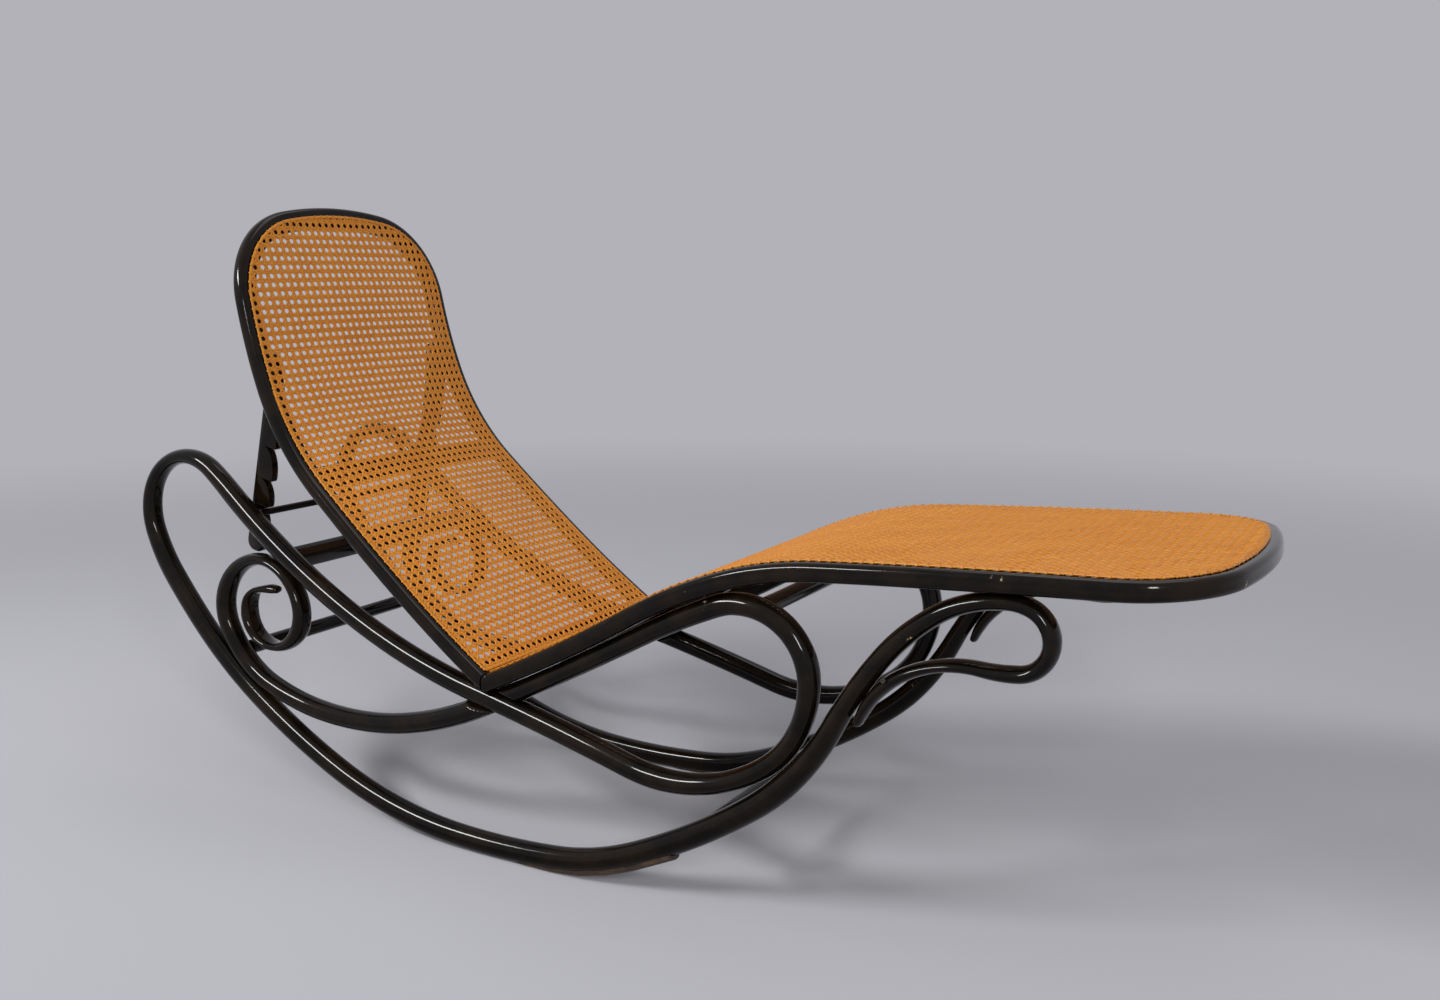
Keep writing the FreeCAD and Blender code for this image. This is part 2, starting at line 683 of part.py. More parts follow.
bolts = []
for side, sign in (("left", 1), ("right", -1)):
    prop_board(side + "_prop_board", sign * board_plane)
    bolts.append(pivot_bolt(side + "_bolt", sign))
pair = doc.addObject("Part::Compound", "pivot_bolts")
pair.Links = bolts
pair.Label = "pivot_bolts"
keep(pair)


doc.recompute()
os.makedirs("parts", exist_ok=True)
for piece in pieces:
    shape = piece.Shape
    if shape.isNull() or not shape.isValid() or "Invalid" in piece.State or "Error" in piece.State:
        raise RuntimeError(piece.Label + " is not sound")
    shape.exportStep("parts/" + piece.Label + ".step")
    print(piece.Label, len(shape.Solids), round(shape.Volume))
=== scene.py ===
import math

import bmesh
import bpy
import numpy as np
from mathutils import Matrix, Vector


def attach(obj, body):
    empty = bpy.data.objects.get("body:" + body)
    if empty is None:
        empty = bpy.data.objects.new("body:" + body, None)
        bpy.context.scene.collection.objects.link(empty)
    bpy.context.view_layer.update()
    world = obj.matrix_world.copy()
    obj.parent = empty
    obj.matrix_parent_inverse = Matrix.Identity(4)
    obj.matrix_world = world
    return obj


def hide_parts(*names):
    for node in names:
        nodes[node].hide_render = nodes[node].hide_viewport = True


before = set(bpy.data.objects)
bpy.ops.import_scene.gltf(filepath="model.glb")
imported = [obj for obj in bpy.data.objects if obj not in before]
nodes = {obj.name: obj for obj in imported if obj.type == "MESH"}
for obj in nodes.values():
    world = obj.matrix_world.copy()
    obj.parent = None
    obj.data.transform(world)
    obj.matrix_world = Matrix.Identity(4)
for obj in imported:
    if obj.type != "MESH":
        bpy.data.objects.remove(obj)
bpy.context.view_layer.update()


# The stand: a plain pale floor that fades into a backdrop. A long soft lamp up on the left draws
# the bright line on each rod, a smaller one stands on the right and a weak one high at the back.
# The camera has the place and the lens that were worked out from the photograph.
def tone(code):
    """A written sRGB colour as Blender's linear one."""
    parts = [int(code[i:i + 2], 16) / 255 for i in (1, 3, 5)]
    return [p / 12.92 if p <= 0.04045 else ((p + 0.055) / 1.055) ** 2.4 for p in parts] + [1.0]


def add(material, kind, inputs=(), **settings):
    """A node with its settings, its values and its links."""
    tree = material.node_tree
    new = tree.nodes.new(kind)
    for name, value in settings.items():
        setattr(new, name, value)
    for name, value in dict(inputs).items():
        if isinstance(value, bpy.types.NodeSocket):
            tree.links.new(value, new.inputs[name])
        else:
            new.inputs[name].default_value = value
    return new


def fresh(name):
    """A material with no nodes yet."""
    material = bpy.data.materials.new(name)
    material.use_nodes = True
    material.node_tree.nodes.clear()
    return material


BACKDROP_TONE = tone("#B2B2B8")
FLOOR_TONE = tone("#A8A8AD")
ROOM_TONE = tone("#E2E2E6")
ROOM_STRENGTH = 0.66
FLOOR_HALF = 14.0
# Between these distances in metres the floor, which takes shadows, turns into the plain backdrop.
FADE_START = 1.5
FADE_END = 5.0

world = bpy.data.worlds.new("pale_room")
bpy.context.scene.world = world
world.use_nodes = True
world.node_tree.nodes.clear()
seen = add(world, "ShaderNodeLightPath")
camera_or_glossy = add(world, "ShaderNodeMath", {
    0: seen.outputs["Is Camera Ray"], 1: seen.outputs["Is Glossy Ray"]}, operation="MAXIMUM")
shown = add(world, "ShaderNodeMath", {
    0: camera_or_glossy.outputs[0], 1: seen.outputs["Is Transmission Ray"]}, operation="MAXIMUM")
room = add(world, "ShaderNodeBackground", {"Color": ROOM_TONE, "Strength": ROOM_STRENGTH})
backdrop = add(world, "ShaderNodeBackground", {"Color": BACKDROP_TONE, "Strength": 1.0})
either = add(world, "ShaderNodeMixShader", {0: shown.outputs[0], 1: room.outputs[0],
                                            2: backdrop.outputs[0]})
add(world, "ShaderNodeOutputWorld", {"Surface": either.outputs[0]})

floor_mesh = bpy.data.meshes.new("floor")
floor_corners = [(-FLOOR_HALF, -FLOOR_HALF, 0), (FLOOR_HALF, -FLOOR_HALF, 0),
                 (FLOOR_HALF, FLOOR_HALF, 0), (-FLOOR_HALF, FLOOR_HALF, 0)]
floor_mesh.from_pydata(floor_corners, [], [(0, 1, 2, 3)])
floor = bpy.data.objects.new("floor", floor_mesh)
bpy.context.collection.objects.link(floor)
felt = fresh("plain_pale_felt")
place = add(felt, "ShaderNodeNewGeometry")
far_off = add(felt, "ShaderNodeVectorMath", {0: place.outputs["Position"]}, operation="LENGTH")
fade = add(felt, "ShaderNodeMapRange", {"Value": far_off.outputs["Value"], "From Min": FADE_START,
                                        "From Max": FADE_END}, interpolation_type="SMOOTHSTEP")
flat = add(felt, "ShaderNodeBsdfDiffuse", {"Color": FLOOR_TONE, "Roughness": 1.0})
glow = add(felt, "ShaderNodeEmission", {"Color": BACKDROP_TONE, "Strength": 1.0})
cloth = add(felt, "ShaderNodeMixShader", {0: fade.outputs["Result"], 1: flat.outputs[0],
                                          2: glow.outputs[0]})
add(felt, "ShaderNodeOutputMaterial", {"Surface": cloth.outputs[0]})
floor_mesh.materials.append(felt)

LAMPS = [
    # name, place, aim, width, height, watts
    ("left_strip_box", (-1.45, -2.2, 2.05), (-0.3, -0.2, 0.3), 1.35, 0.38, 72.0),
    ("right_softbox", (1.75, -2.1, 1.45), (0.4, -0.2, 0.4), 0.32, 0.75, 24.0),
    ("high_softbox", (0.3, 0.9, 3.2), (0.0, 0.0, 0.3), 2.0, 1.4, 14.0),
]
for name, spot, aim, wide, high, watts in LAMPS:
    lamp = bpy.data.lights.new(name, "AREA")
    lamp.shape = "RECTANGLE"
    lamp.size = wide
    lamp.size_y = high
    lamp.energy = watts
    holder = bpy.data.objects.new(name, lamp)
    holder.location = spot
    holder.rotation_euler = (Vector(aim) - Vector(spot)).to_track_quat("-Z", "Y").to_euler()
    bpy.context.collection.objects.link(holder)

SENSOR_MM = 36.0
LENS_MM = 33.75
CAMERA_PLACE = (1.0166, -1.6358, 0.8218)
CAMERA_TILT = 80.33
CAMERA_TURN = 29.19
eye = bpy.data.cameras.new("camera")
eye.sensor_width = SENSOR_MM
eye.lens = LENS_MM
camera = bpy.data.objects.new("camera", eye)
camera.location = CAMERA_PLACE
camera.rotation_euler = (math.radians(CAMERA_TILT), 0.0, math.radians(CAMERA_TURN))
bpy.context.collection.objects.link(camera)
bpy.context.scene.camera = camera
bpy.context.scene.view_settings.view_transform = "Standard"


# The side frames: beech rods, steamed and bent into one running line a side, lapped where they
# cross and spliced under the rails. Stained black and finished in many thin coats of shellac.
LINE_LENGTH = 1.7
ROD_PLANE = 0.2115
ROD_THICKNESS = 0.033
ROD_BREADTH = 0.032
ROD_STEP = 0.005
ROD_SIDES = 28
# How a free end is rounded: share of TIP_ROUND past the end, and share of the rod's size there.
TIP_ROUND = 0.004
TIP_DOME = [(0.55, 0.80), (0.87, 0.50), (1.0, 0.02)]

# "arcs" gives shares of LINE_LENGTH and the degrees that each arc turns. "thick" and "broad" give
# places along the rod, and its thickness in the side plane or breadth across it there, as shares.
# "tips" says which of its ends are free.
SCROLL = {
    "start": (-0.5533, 0.3408), "heading": -180.65,
    "arcs": [(0.02059, 10.0), (0.01882, 58.0), (0.04190, 84.59), (0.07790, 128.47),
             (0.06914, 85.98), (0.05818, 64.05), (0.03403, 44.61), (0.07060, 42.72),
             (0.06167, 15.23), (0.09422, 17.71), (0.09415, 14.96), (0.17610, 3.27),
             (0.07328, -6.46), (0.05179, -51.51), (0.05619, -62.35), (0.08052, -54.16)],
    "thick": [(0.000, 0.36), (0.006, 0.45), (0.020, 0.29), (0.034, 0.41), (0.049, 0.585),
              (0.076, 0.44), (0.093, 0.43), (0.128, 0.74), (0.165, 0.585), (0.200, 0.50),
              (0.230, 0.70), (0.265, 0.87), (0.300, 0.87), (0.330, 0.845), (0.360, 0.845),
              (0.420, 0.91), (0.510, 0.94), (0.600, 0.94), (0.650, 0.825), (0.770, 0.825),
              (0.850, 0.89), (0.910, 0.89), (0.950, 0.805), (1.000, 0.805)],
    "broad": [(0.0, 0.55), (0.010, 0.78), (0.035, 1.0), (1.0, 1.0)], "tips": (True, False),
}
RAIL = {
    "arcs": [(0.12349, -50.20), (0.15273, 3.37), (0.13559, -13.70), (0.18297, -15.63),
             (0.02560, 4.37), (0.04835, 52.18), (0.05721, 60.25), (0.03406, 34.41),
             (0.04740, 18.20), (0.05529, 5.06)],
    "thick": [(0.000, 0.805), (0.045, 0.805), (0.110, 0.95), (0.200, 0.97), (0.680, 0.97),
              (0.720, 0.86), (0.755, 0.73), (0.790, 0.68), (0.825, 0.70), (0.880, 0.88),
              (0.935, 1.0), (1.000, 1.0)],
    "broad": [(0.0, 1.0), (1.0, 1.0)], "tips": (False, False),
}
ROCKER = {
    "arcs": [(0.08499, 12.16), (0.11458, 10.81), (0.14127, 20.84), (0.09916, 8.29),
             (0.07626, 18.00), (0.12591, 12.90), (0.09899, 26.72), (0.06647, -11.40),
             (0.05160, -17.70), (0.05269, -32.94), (0.01527, -25.11), (0.06160, -148.83),
             (0.02543, -12.55), (0.06048, 38.96), (0.04881, 37.41)],
    "thick": [(0.000, 1.0), (0.600, 1.0), (0.675, 0.80), (0.740, 0.76), (0.785, 0.66),
              (0.820, 0.635), (0.850, 0.62), (0.885, 0.60), (0.906, 0.49), (0.932, 0.455),
              (0.968, 0.53), (0.990, 0.45), (1.000, 0.33)],
    "broad": [(0.0, 1.0), (0.985, 1.0), (1.0, 0.75)], "tips": (False, True),
}
# The mitre between seat and back stands on these rods, whose tops are cut away under it, so the
# sizes of the two hoops come here. A hoop follows its own arcs in profile from "start", over its
# "reach". "corner" and "crown" are the radii of its corners and of its end, "taper" is how much
# narrower each side gets, and "bulge" is how far the cane stands out in its middle.
HINGE = (-0.1439, 0.2508)
MITRE_HALF_GAP = 0.0013
MITRE_AIR = 0.0003
RECLINE = 11.5
HALF_WIDTH = 0.218
HOOP_BREADTH = 0.034
CANE_LEVEL = 0.001
CANE_CLEAR = 0.001
SEAT = {
    "start": (-0.1397, 0.2596), "heading": 24.9, "up": 1, "side": 1, "reach": 1.0089,
    "corner": 0.1098, "crown": 0.6401, "depth": 0.024, "taper": 0.0, "bulge": 0.0,
    "arcs": [(0.15618, 5.55), (0.07729, -9.87), (0.08676, -16.58), (0.05800, -0.69),
             (0.12888, -1.11), (0.12000, 3.90)],
}
BACK = {
    "start": (-0.1555, 0.2663), "heading": 146.15, "up": -1, "side": -1, "reach": 0.8199,
    "corner": 0.1257, "crown": 0.6056, "depth": 0.020, "taper": 0.0107, "bulge": 0.010,
    "arcs": [(0.10000, -4.95), (0.12000, -2.97), (0.11000, -27.73), (0.07000, -8.51),
             (0.07500, 0.30), (0.08000, 0.42)],
}


def on_line(line, runs):
    """Places on a line of tangent arcs in the side view: x, z and direction at each run."""
    runs = np.asarray(runs, dtype=float)
    x, z = line["start"]
    heading = math.radians(line["heading"])
    covered = 0.0
    out = np.zeros((3, len(runs)))
    for number, (share, turn) in enumerate(line["arcs"]):
        length = share * LINE_LENGTH
        turn = math.radians(turn)
        radius = length / turn
        cx = x - math.sin(heading) * radius
        cz = z + math.cos(heading) * radius
        last = number == len(line["arcs"]) - 1
        before = (number == 0) & (runs < 0)
        inside = (runs >= covered) & (last | (runs < covered + length)) | before
        angle = heading + turn * (runs[inside] - covered) / length
        out[:, inside] = cx + np.sin(angle) * radius, cz - np.cos(angle) * radius, angle
        heading += turn
        x = cx + math.sin(heading) * radius
        z = cz - math.cos(heading) * radius
        covered += length
    return out


def measure(hoop):
    """Adds what follows from a hoop's sizes: its narrow half width, its corners, its mitre."""
    between = hoop["crown"] - hoop["corner"]
    hoop["half"] = HALF_WIDTH - hoop["taper"]
    hoop["tip"] = math.asin((hoop["half"] - hoop["corner"]) / between)
    hoop["corner_run"] = hoop["reach"] - hoop["crown"] + between * math.cos(hoop["tip"])
    x, z, angle = on_line(hoop, [0.0])[:, 0]
    at_cane = x - math.sin(angle) * hoop["up"] * (hoop["depth"] / 2 + CANE_LEVEL)
    hoop["face"] = HINGE[0] + hoop["side"] * MITRE_HALF_GAP
    hoop["first"] = (hoop["face"] - at_cane) / math.cos(angle) + CANE_CLEAR


def length_of(line):
    """Length of a rod along its middle."""
    return LINE_LENGTH * sum(share for share, turn in line["arcs"])


def follow(line, before):
    """Starts a rod where the one before it ends."""
    x, z, angle = on_line(before, [length_of(before)])[:, 0]
    line["start"] = (x, z)
    line["heading"] = math.degrees(angle)


def set_in_place(name, mesh, material, body, *cad):
    """Puts a finished mesh in the scene, on its body, in place of the CAD parts that it shows."""
    mesh.materials.append(material)
    piece = bpy.data.objects.new(name, mesh)
    bpy.context.collection.objects.link(piece)
    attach(piece, body)
    if cad:
        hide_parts(*cad)
    return piece


def tube(name, rings, material, body, *cad):
    """A smooth skin over rings of points. Its flat ends have their own points, to stay crisp."""
    count, sides = rings.shape[:2]
    faces = [(i * sides + j, i * sides + (j + 1) % sides, (i + 1) * sides + (j + 1) % sides,
              (i + 1) * sides + j) for i in range(count - 1) for j in range(sides)]
    lids = [tuple(range(end * sides, (end + 1) * sides)) for end in (count, count + 1)]
    mesh = bpy.data.meshes.new(name)
    mesh.from_pydata(np.concatenate([*rings, rings[0][::-1], rings[-1]]).tolist(), [], faces + lids)
    mesh.polygons.foreach_set("use_smooth", [True] * len(faces) + [False] * len(lids))
    mesh.validate()
    set_in_place(name, mesh, material, body, *cad)


def mitre_roof():
    """The underside of the seat's corner, and of the back's corner when it leans furthest back."""
    places = []
    for hoop, lean in ((BACK, math.radians(-RECLINE)), (SEAT, 0.0)):
        for run in (HOOP_BREADTH, 0.0):
            x, z, angle = on_line(hoop, [run])[:, 0]
            drop = hoop["depth"] / 2 + MITRE_AIR
            x += math.sin(angle) * hoop["up"] * drop
            z -= math.cos(angle) * hoop["up"] * drop
            if run == 0.0:
                slide = (hoop["face"] - x) / math.cos(angle)
                x += math.cos(angle) * slide
                z += math.sin(angle) * slide
            dx, dz = x - HINGE[0], z - HINGE[1]
            places.append((HINGE[0] + dx * math.cos(lean) + dz * math.sin(lean),
                           HINGE[1] - dx * math.sin(lean) + dz * math.cos(lean)))
    return np.array(sorted(places))


# The half lap of scroll and rail, below the mitre: where it is, and how closely its cut is stepped.
LAP_X = -0.19
LAP_REACH = 0.24
LAP_ROOM = 1.8 * ROD_THICKNESS
LAP_STEP = 0.001
LAP_SAMPLES = 600
LAP_TAPER = 0.005


def lap_runs(line, other):
    """Close steps along a rod where the other one crosses it, so that the cut fits that one."""
    runs = np.arange(0.0, length_of(line), LAP_STEP)
    x, z = on_line(line, runs)[:2]
    other_x, other_z = on_line(other, np.linspace(0.0, length_of(other), LAP_SAMPLES))[:2]
    gap = np.hypot(x[:, None] - other_x, z[:, None] - other_z).min(axis=1)
    return runs[(gap < LAP_ROOM) & (np.abs(x - LAP_X) < LAP_REACH)]


def rod_rings(line, sign, close_runs=()):
    """Oval rings along one rod, with rounded tips where it ends free."""
    total = length_of(line)
    runs = np.unique(np.concatenate([np.linspace(0, total, int(total / ROD_STEP) + 1), close_runs]))
    thick = np.interp(runs / total, *zip(*line["thick"])) * ROD_THICKNESS / 2
    broad = np.interp(runs / total, *zip(*line["broad"])) * ROD_BREADTH / 2
    dome = np.array(TIP_DOME)
    for at_end, free in enumerate(line["tips"]):
        if free:
            edge = total if at_end else 0.0
            away = 1 if at_end else -1
            whole = -1 if at_end else 0
            extra = edge + away * dome[:, 0] * TIP_ROUND
            more = np.stack([extra, thick[whole] * dome[:, 1], broad[whole] * dome[:, 1]])
            kept = np.stack([runs, thick, broad])
            parts = [kept, more] if at_end else [more[:, ::-1], kept]
            runs, thick, broad = np.concatenate(parts, axis=1)
    x, z, angle = on_line(line, runs)
    around = 2 * math.pi * (np.arange(ROD_SIDES) + 0.5) / ROD_SIDES
    out = np.outer(thick, np.cos(around))
    rings = np.stack([x[:, None] - np.sin(angle)[:, None] * out,
                      sign * (ROD_PLANE + np.outer(broad, np.sin(around))),
                      z[:, None] + np.cos(angle)[:, None] * out], axis=2)
    return rings if sign > 0 else rings[:, ::-1]


def notch_for(rings, other, keep_inner, sign):
    """Half lap: near a crossing rod this one is pared away, down to its inner or its outer half."""
    total = length_of(other)
    runs = np.linspace(0.0, total, LAP_SAMPLES)
    x, z, angle = on_line(other, runs)
    half = np.interp(runs / total, *zip(*other["thick"])) * ROD_THICKNESS / 2
    near = (np.hypot(rings[:, :, 0, None] - x, rings[:, :, 2, None] - z) - half).min(axis=2)
    allowed = ROD_BREADTH / 2 * np.sqrt(np.clip(near / LAP_TAPER, 0, 1))
    allowed[np.abs(rings[:, :, 0] - LAP_X) > LAP_REACH] = ROD_BREADTH
    depth = rings[:, :, 1] * sign - ROD_PLANE
    left = np.minimum(depth, allowed) if keep_inner else np.maximum(depth, -allowed)
    rings[:, :, 1] = sign * (ROD_PLANE + left)


# Stain colours, and sizes in millimetres: clouds in the stain, patches that hands rub, the field
# whose finer detail makes chips of about 2 mm, and the ripples that the brush leaves.
LACQUER_DEEP = "#090603"
LACQUER_BROWN = "#1B1209"
RUBBED_BEECH = "#B09A78"
CLOUD_MM = 60.0
RUBBED_MM = 96.0
CHIP_MM = 13.2
RIPPLE_MM = 13.5
CHIP_EDGE = 0.03


def black_lacquer(name, rubbed):
    """Shellac over black-stained beech: deep brown-black, a glassy coat that gives thin bright
    lines, faint ripples, and spots where the stain is rubbed or chipped through to the wood."""
    made = fresh(name)
    where = add(made, "ShaderNodeTexCoord").outputs["Object"]
    clouds = add(made, "ShaderNodeTexNoise", {"Vector": where, "Scale": 1000 / CLOUD_MM,
                                              "Detail": 5.0, "Roughness": 0.6})
    depth = add(made, "ShaderNodeMapRange", {"Value": clouds.outputs["Fac"], "From Min": 0.42,
                                             "From Max": 0.68})
    stain = add(made, "ShaderNodeMix", {0: depth.outputs["Result"], 6: tone(LACQUER_DEEP),
                                        7: tone(LACQUER_BROWN)}, data_type="RGBA")
    chips = add(made, "ShaderNodeTexNoise", {"Vector": where, "Scale": 1000 / CHIP_MM,
                                             "Detail": 6.0, "Roughness": 0.75})
    patches = add(made, "ShaderNodeTexNoise", {"Vector": where, "Scale": 1000 / RUBBED_MM,
                                               "Detail": 2.0})
    both = add(made, "ShaderNodeMath", {0: chips.outputs["Fac"], 1: patches.outputs["Fac"]},
               operation="MULTIPLY")
    worn = add(made, "ShaderNodeMapRange", {"Value": both.outputs[0], "From Min": rubbed,
                                            "From Max": rubbed + CHIP_EDGE})
    skin = add(made, "ShaderNodeMix", {0: worn.outputs["Result"], 6: stain.outputs[2],
                                       7: tone(RUBBED_BEECH)}, data_type="RGBA")
    rough = add(made, "ShaderNodeMapRange", {"Value": clouds.outputs["Fac"], "From Min": 0.3,
                                             "From Max": 0.7, "To Min": 0.20, "To Max": 0.34})
    waves = add(made, "ShaderNodeTexNoise", {"Vector": where, "Scale": 1000 / RIPPLE_MM,
                                             "Detail": 2.0})
    ripple = add(made, "ShaderNodeBump", {"Height": waves.outputs["Fac"], "Strength": 0.03,
                                          "Distance": 0.002})
    shell = add(made, "ShaderNodeBsdfPrincipled", {
        "Base Color": skin.outputs[2], "Roughness": rough.outputs["Result"], "IOR": 1.5,
        "Specular IOR Level": 0.02, "Coat Weight": 1.0, "Coat IOR": 1.30, "Coat Roughness": 0.08,
        "Normal": ripple.outputs["Normal"], "Coat Normal": ripple.outputs["Normal"]})
    add(made, "ShaderNodeOutputMaterial", {"Surface": shell.outputs[0]})
    return made


follow(RAIL, SCROLL)
follow(ROCKER, RAIL)
measure(SEAT)
measure(BACK)
roof = mitre_roof()
shellac = black_lacquer("black_shellac_on_bent_beech", rubbed=0.455)
for side, sign in (("left", 1), ("right", -1)):
    for name, line in (("scroll", SCROLL), ("rail", RAIL), ("rocker", ROCKER)):
        crossing = {"scroll": RAIL, "rail": SCROLL}.get(name)
        rings = rod_rings(line, sign, lap_runs(line, crossing) if crossing else ())
        if crossing:
            notch_for(rings, crossing, name == "scroll", sign)
        if line is not ROCKER:
            under = (rings[:, :, 0] > roof[0, 0]) & (rings[:, :, 0] < roof[-1, 0])
            ceiling = np.interp(rings[:, :, 0], roof[:, 0], roof[:, 1])
            rings[:, :, 2] = np.where(under, np.minimum(rings[:, :, 2], ceiling), rings[:, :, 2])
        # The rocker is worn flat where it stands.
        rings[:, :, 2] = np.maximum(rings[:, :, 2], 0.0)
        tube("%s_%s_bend" % (side, name), rings, shellac, "frame", "%s_%s_rod" % (side, name))


# Sole strips: a thin beech slat glued under each rocker where it bears on the floor. Its stain has
# worn away to brown, dull wood with dark scratches along the roll.
SOLE_LIGHT = "#513A25"
SOLE_DARK = "#1E160E"
SCRATCH_MM = 1.6
SCRATCH_LONG_MM = 40.0


def round_off(piece, crease):
    """Shades a turned or bent piece as round: only its shading normals follow the curve."""
    mesh = piece.data
    spots = np.empty(len(mesh.vertices) * 3)
    mesh.vertices.foreach_get("co", spots)
    keys = [tuple(k) for k in np.round(spots.reshape(-1, 3) * 1e5).astype(int)]
    meetings = {}
    for face in mesh.polygons:
        corners = [mesh.vertices[v].co for v in face.vertices]
        for i, vertex in enumerate(face.vertices):
            before = corners[i - 1] - corners[i]
            after = corners[(i + 1) % len(corners)] - corners[i]
            weight = before.angle(after, 0.0)
            meetings.setdefault(keys[vertex], []).append((face.normal.copy(), weight))
    limit = math.cos(math.radians(crease))
    normals = []
    for face in mesh.polygons:
        for vertex in face.vertices:
            total = Vector()
            for normal, weight in meetings[keys[vertex]]:
                if normal.dot(face.normal) > limit:
                    total += normal * weight
            normals.append(total.normalized() if total.length > 0 else face.normal)
    mesh.polygons.foreach_set("use_smooth", [True] * len(mesh.polygons))
    mesh.normals_split_custom_set(normals)


def finish_with(piece, material):
    """Gives a CAD part that keeps its shape its real finish."""
    if not piece.material_slots:
        piece.data.materials.append(material)
    for place in piece.material_slots:
        place.material = material


sole = fresh("worn_beech_sole")
sole_place = add(sole, "ShaderNodeTexCoord").outputs["Object"]
along_sole = add(sole, "ShaderNodeMapping", {"Vector": sole_place, "Scale": (
    1000 / SCRATCH_LONG_MM, 1000 / SCRATCH_MM, 1000 / SCRATCH_LONG_MM)})
scuffs = add(sole, "ShaderNodeTexNoise", {"Vector": along_sole.outputs[0], "Scale": 1.0,
                                          "Detail": 6.0, "Roughness": 0.7})
scuffed = add(sole, "ShaderNodeMapRange", {"Value": scuffs.outputs["Fac"], "From Min": 0.35,
                                           "From Max": 0.65})
sole_skin = add(sole, "ShaderNodeMix", {0: scuffed.outputs["Result"], 6: tone(SOLE_DARK),
                                        7: tone(SOLE_LIGHT)}, data_type="RGBA")
sole_relief = add(sole, "ShaderNodeBump", {"Height": scuffs.outputs["Fac"], "Strength": 0.3,
                                           "Distance": 0.001})
sole_wood = add(sole, "ShaderNodeBsdfPrincipled", {
    "Base Color": sole_skin.outputs[2], "Roughness": 0.55, "IOR": 1.5,
    "Normal": sole_relief.outputs["Normal"]})
add(sole, "ShaderNodeOutputMaterial", {"Surface": sole_wood.outputs[0]})
for name in ("left_wear_strip", "right_wear_strip"):
    round_off(nodes[name], crease=40)
    finish_with(nodes[name], sole)


# Hoops of the seat and back: beech bent to a U and curved in profile, with rounded edges, mitred
# where they meet at the hinge. Their edges are handled most, so more of the stain is rubbed off.
HOOP_ROUND = 0.008
HOOP_STEP = 0.008
CORNER_STEPS = 24
CROWN_STEPS = 14
ROUND_STEPS = 6


def directions(hoop, angle):
    """Directions along a hoop's profile and out of its caned face."""
    along = np.stack([np.cos(angle), 0 * angle, np.sin(angle)], axis=1)
    up = np.stack([-np.sin(angle), 0 * angle, np.cos(angle)], axis=1) * hoop["up"]
    return along, up


def hoop_rings(hoop):
    """Rings of the rounded bar along the U: up one side, round the end and down the other."""
    half = hoop["half"]
    corner_run, corner, crown = hoop["corner_run"], hoop["corner"], hoop["crown"]
    turn = math.pi / 2 - hoop["tip"]
    stations = [(run, -half - hoop["taper"] * (1 - run / corner_run), 0.0)
                for run in np.linspace(0, corner_run, int(corner_run / HOOP_STEP))]
    stations += [(corner_run + math.sin(a) * corner, -half + corner - math.cos(a) * corner, a)
                 for a in np.linspace(0, turn, CORNER_STEPS)[1:]]
    stations += [(hoop["reach"] - crown + math.sin(a) * crown, -math.cos(a) * crown, a)
                 for a in np.linspace(turn, math.pi / 2, CROWN_STEPS)[1:]]
    stations += [(run, -y, math.pi - a) for run, y, a in reversed(stations[:-1])]
    runs, across, turns = np.array(stations).T
    x, z, angle = on_line(hoop, runs)
    along, up = directions(hoop, angle)
    square = along * -np.sin(turns)[:, None] + np.array([0.0, 1.0, 0.0]) * np.cos(turns)[:, None]
    centre = np.stack([x, across, z], axis=1)
    flat = HOOP_BREADTH / 2 - HOOP_ROUND
    tall = hoop["depth"] / 2 - HOOP_ROUND
    section = []
    for quarter, (a, b) in enumerate(((1, 1), (-1, 1), (-1, -1), (1, -1))):
        for step in range(ROUND_STEPS + 1):
            swing = math.pi / 2 * (quarter + step / ROUND_STEPS)
            section.append((a * flat + math.cos(swing) * HOOP_ROUND,
                            b * tall + math.sin(swing) * HOOP_ROUND))
    rings = np.stack([centre + square * a + up * b for a, b in section], axis=1)
    for end in (0, -1):
        slide = (hoop["face"] - rings[end, :, 0]) / along[end, 0]
        rings[end] += along[end] * slide[:, None]
    return rings


hoop_shellac = black_lacquer("black_shellac_on_hoops", rubbed=0.44)
for name, hoop, body in (("seat_hoop", SEAT, "frame"), ("back_hoop", BACK, "back")):
    tube(name + "_bend", hoop_rings(hoop), hoop_shellac, body, name)


# Cane of the seat and back: split rattan peel in the six-way pattern, drawn through holes in the
# hoop. Pairs run along and across, and single strands go both ways on the slant, under one pair and
# over the other, which leaves an eight-sided opening in each square.
# PITCH is the spacing of the holes. PAIR is how far the strands of a pair lie from its middle, in
# pitches. The peel's fibres only show close up.
PITCH = 0.0135
PAIR = 0.125
STRAIGHT_WIDTH = 0.0032
SLANT_WIDTH = 0.0029
PEEL_THICK = 0.0009
WEAVE = 0.0006
CANE_OUT = 0.003
CANE_EDGE = 0.0015
CANE_LIFT = 0.0011
SWELL_RUN = 0.16
# A strand as it is cut: its sides are shaved down. Share of the width, and drop below the crown.
PEEL_SECTION = ((-0.5, PEEL_THICK), (-0.34, 0.0), (0.34, 0.0), (0.5, PEEL_THICK))
# Strands are traced in these steps, in metres and in pitches, to find where they meet the rim.
# Those of fewer steps are left out of the corners.
EDGE_STEP = 0.0005
SHORTEST = 30
SLANT_STEP = 0.02
SHORTEST_SLANT = 60
SLANT_RISE = 1.1
CANE_HONEY = "#D08626"
CANE_AMBER = "#B66A12"
CANE_PALE = "#E4B052"
FIBRE_MM = 0.35


